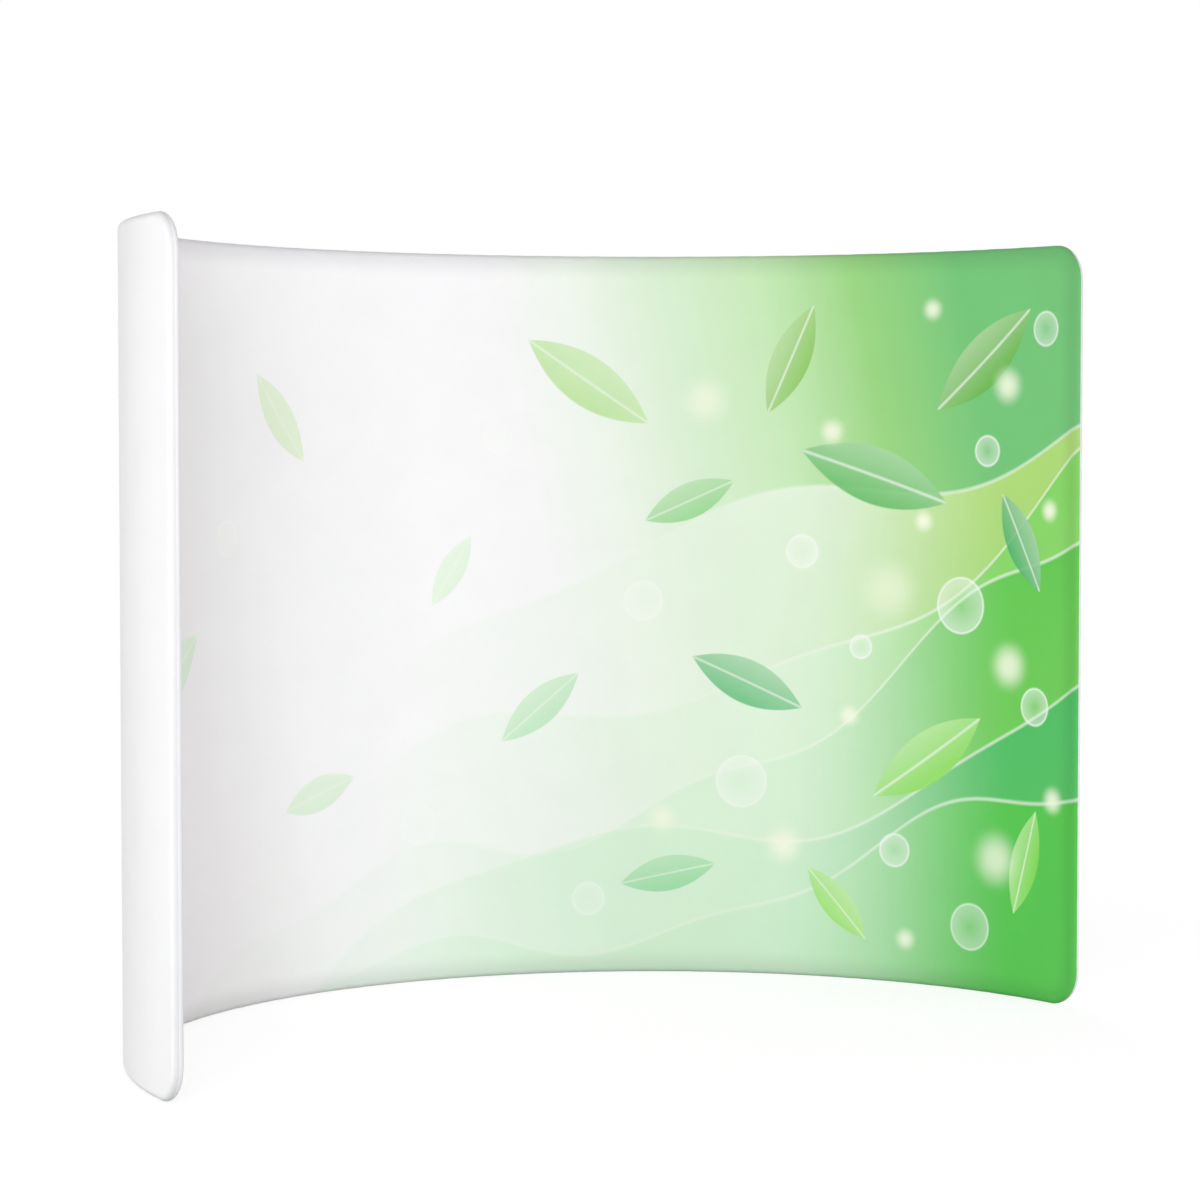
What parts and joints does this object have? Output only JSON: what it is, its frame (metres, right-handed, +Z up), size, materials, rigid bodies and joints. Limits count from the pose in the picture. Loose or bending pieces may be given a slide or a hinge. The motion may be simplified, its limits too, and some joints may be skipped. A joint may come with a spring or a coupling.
{
  "type": "fabric display wall",
  "caption": "Half-circle standing display wall: printed stretch-cloth cover, zipped low on the back, over a plug-together tube frame.",
  "frame": {"origin": "on the floor, at the centre of the wall's bounding box", "axes": "+Z up; +X along the wall's width; -Y is the open, printed side of the arc and +Y its white back"},
  "size_m": [2.99, 1.5108, 2.3],
  "materials": {
    "printed_cloth": "knitted polyester, dye-printed in pale mint and leaf green",
    "white_cloth": "knitted polyester, plain white",
    "zip_tape": "woven polyester tape, white",
    "zip_teeth": "nylon coil, white",
    "zip_metal": "nickel-plated zinc",
    "tube_aluminium": "drawn tube, satin anodised",
    "spigot_aluminium": "drawn tube, mill finish",
    "rivet_aluminium": "blind rivet, bright",
    "spring_steel": "zinc-plated spring steel"
  },
  "bodies": {
    "wall": {"front_print_panel": "printed_cloth", "back_panel": "white_cloth", "zip_upper_tape": "zip_tape", "zip_lower_tape": "zip_tape", "zip_upper_coil": "zip_teeth", "zip_lower_coil": "zip_teeth", "zip_end_stops": "zip_metal", "top_rail_1": "tube_aluminium", "bottom_rail_1": "tube_aluminium", "top_rail_2": "tube_aluminium", "bottom_rail_2": "tube_aluminium", "top_rail_3": "tube_aluminium", "bottom_rail_3": "tube_aluminium", "top_rail_4": "tube_aluminium", "bottom_rail_4": "tube_aluminium", "left_upright_upper": "tube_aluminium", "left_upright_lower": "tube_aluminium", "right_upright_upper": "tube_aluminium", "right_upright_lower": "tube_aluminium", "left_support_upper": "tube_aluminium", "left_support_lower": "tube_aluminium", "right_support_upper": "tube_aluminium", "right_support_lower": "tube_aluminium", "rail_spigots": "spigot_aluminium", "upright_spigots": "spigot_aluminium", "support_spigots": "spigot_aluminium", "rail_stubs": "spigot_aluminium", "spigot_rivets": "rivet_aluminium", "spring_fixed_legs": "spring_steel"},
    "zip_slider": {"zip_slider": "zip_metal"},
    "zip_pull": {"zip_pull": "zip_metal"},
    "top_rail_button_1": {"top_rail_button_1": "spring_steel"},
    "top_rail_button_2": {"top_rail_button_2": "spring_steel"},
    "top_rail_button_3": {"top_rail_button_3": "spring_steel"},
    "top_rail_button_4": {"top_rail_button_4": "spring_steel"},
    "top_rail_button_5": {"top_rail_button_5": "spring_steel"},
    "bottom_rail_button_1": {"bottom_rail_button_1": "spring_steel"},
    "bottom_rail_button_2": {"bottom_rail_button_2": "spring_steel"},
    "bottom_rail_button_3": {"bottom_rail_button_3": "spring_steel"},
    "bottom_rail_button_4": {"bottom_rail_button_4": "spring_steel"},
    "bottom_rail_button_5": {"bottom_rail_button_5": "spring_steel"},
    "left_upright_button": {"left_upright_button": "spring_steel"},
    "right_upright_button": {"right_upright_button": "spring_steel"},
    "left_support_foot_button": {"left_support_foot_button": "spring_steel"},
    "left_support_middle_button": {"left_support_middle_button": "spring_steel"},
    "left_support_head_button": {"left_support_head_button": "spring_steel"},
    "right_support_foot_button": {"right_support_foot_button": "spring_steel"},
    "right_support_middle_button": {"right_support_middle_button": "spring_steel"},
    "right_support_head_button": {"right_support_head_button": "spring_steel"}
  },
  "joints": [
    {"name": "zip_run", "type": "hinge", "parent": "wall", "child": "zip_slider", "pos_m": [0, -0.73815, 0.036], "axis": [0, 0, 1], "range_deg": [0, 138.85]},
    {"name": "pull_swing", "type": "hinge", "parent": "zip_slider", "child": "zip_pull", "pos_m": [1.48725, -0.56669, 0.036], "axis": [0, 0, -1], "range_deg": [0, 165]},
    {"name": "top_rail_press_1", "type": "hinge", "parent": "wall", "child": "top_rail_button_1", "pos_m": [-1.46223, -0.5408, 2.27191], "axis": [-0.9941, 0.1082, 0], "range_deg": [0, 6.79], "stiffness_Nm_per_rad": 4, "springref_deg": -4.01},
    {"name": "top_rail_press_2", "type": "hinge", "parent": "wall", "child": "top_rail_button_2", "pos_m": [-0.98005, 0.36484, 2.27191], "axis": [0.6447, -0.7644, 0], "range_deg": [0, 6.79], "stiffness_Nm_per_rad": 4, "springref_deg": -4.01},
    {"name": "top_rail_press_3", "type": "hinge", "parent": "wall", "child": "top_rail_button_3", "pos_m": [-0.00799, 0.73732, 2.27191], "axis": [-0.0203, -0.9998, 0], "range_deg": [0, 6.79], "stiffness_Nm_per_rad": 4, "springref_deg": -4.01},
    {"name": "top_rail_press_4", "type": "hinge", "parent": "wall", "child": "top_rail_button_4", "pos_m": [0.96804, 0.37539, 2.27191], "axis": [-0.6753, -0.7375, 0], "range_deg": [0, 6.79], "stiffness_Nm_per_rad": 4, "springref_deg": -4.01},
    {"name": "top_rail_press_5", "type": "hinge", "parent": "wall", "child": "top_rail_button_5", "pos_m": [1.46223, -0.5408, 2.27191], "axis": [-0.9941, -0.1082, 0], "range_deg": [0, 6.79], "stiffness_Nm_per_rad": 4, "springref_deg": -4.01},
    {"name": "bottom_rail_press_1", "type": "hinge", "parent": "wall", "child": "bottom_rail_button_1", "pos_m": [-1.46223, -0.5408, 0.02759], "axis": [0.9941, -0.1082, 0], "range_deg": [0, 6.79], "stiffness_Nm_per_rad": 4, "springref_deg": -4.01},
    {"name": "bottom_rail_press_2", "type": "hinge", "parent": "wall", "child": "bottom_rail_button_2", "pos_m": [-0.98005, 0.36484, 0.02759], "axis": [-0.6447, 0.7644, 0], "range_deg": [0, 6.79], "stiffness_Nm_per_rad": 4, "springref_deg": -4.01},
    {"name": "bottom_rail_press_3", "type": "hinge", "parent": "wall", "child": "bottom_rail_button_3", "pos_m": [-0.00799, 0.73732, 0.02759], "axis": [0.0203, 0.9998, 0], "range_deg": [0, 6.79], "stiffness_Nm_per_rad": 4, "springref_deg": -4.01},
    {"name": "bottom_rail_press_4", "type": "hinge", "parent": "wall", "child": "bottom_rail_button_4", "pos_m": [0.96804, 0.37539, 0.02759], "axis": [0.6753, 0.7375, 0], "range_deg": [0, 6.79], "stiffness_Nm_per_rad": 4, "springref_deg": -4.01},
    {"name": "bottom_rail_press_5", "type": "hinge", "parent": "wall", "child": "bottom_rail_button_5", "pos_m": [1.46223, -0.5408, 0.02759], "axis": [0.9941, 0.1082, 0], "range_deg": [0, 6.79], "stiffness_Nm_per_rad": 4, "springref_deg": -4.01},
    {"name": "left_upright_press", "type": "hinge", "parent": "wall", "child": "left_upright_button", "pos_m": [-1.47709, -0.72738, 1.14175], "axis": [0.9981, -0.0609, 0], "range_deg": [0, 6.79], "stiffness_Nm_per_rad": 4, "springref_deg": -4.01},
    {"name": "right_upright_press", "type": "hinge", "parent": "wall", "child": "right_upright_button", "pos_m": [1.47709, -0.72738, 1.14175], "axis": [0.9981, 0.0609, 0], "range_deg": [0, 6.79], "stiffness_Nm_per_rad": 4, "springref_deg": -4.01},
    {"name": "left_support_foot_press", "type": "hinge", "parent": "wall", "child": "left_support_foot_button", "pos_m": [-0.7313, 0.54282, 0.0438], "axis": [0.5, -0.866, 0], "range_deg": [0, 6.79], "stiffness_Nm_per_rad": 4, "springref_deg": -4.01},
    {"name": "left_support_middle_press", "type": "hinge", "parent": "wall", "child": "left_support_middle_button", "pos_m": [-0.7313, 0.54282, 1.14175], "axis": [0.5, -0.866, 0], "range_deg": [0, 6.79], "stiffness_Nm_per_rad": 4, "springref_deg": -4.01},
    {"name": "left_support_head_press", "type": "hinge", "parent": "wall", "child": "left_support_head_button", "pos_m": [-0.7313, 0.54282, 2.2557], "axis": [-0.5, 0.866, 0], "range_deg": [0, 6.79], "stiffness_Nm_per_rad": 4, "springref_deg": -4.01},
    {"name": "right_support_foot_press", "type": "hinge", "parent": "wall", "child": "right_support_foot_button", "pos_m": [0.7437, 0.53566, 0.0438], "axis": [-0.5, -0.866, 0], "range_deg": [0, 6.79], "stiffness_Nm_per_rad": 4, "springref_deg": -4.01},
    {"name": "right_support_middle_press", "type": "hinge", "parent": "wall", "child": "right_support_middle_button", "pos_m": [0.7437, 0.53566, 1.14175], "axis": [-0.5, -0.866, 0], "range_deg": [0, 6.79], "stiffness_Nm_per_rad": 4, "springref_deg": -4.01},
    {"name": "right_support_head_press", "type": "hinge", "parent": "wall", "child": "right_support_head_button", "pos_m": [0.7437, 0.53566, 2.2557], "axis": [0.5, 0.866, 0], "range_deg": [0, 6.79], "stiffness_Nm_per_rad": 4, "springref_deg": -4.01}
  ]
}
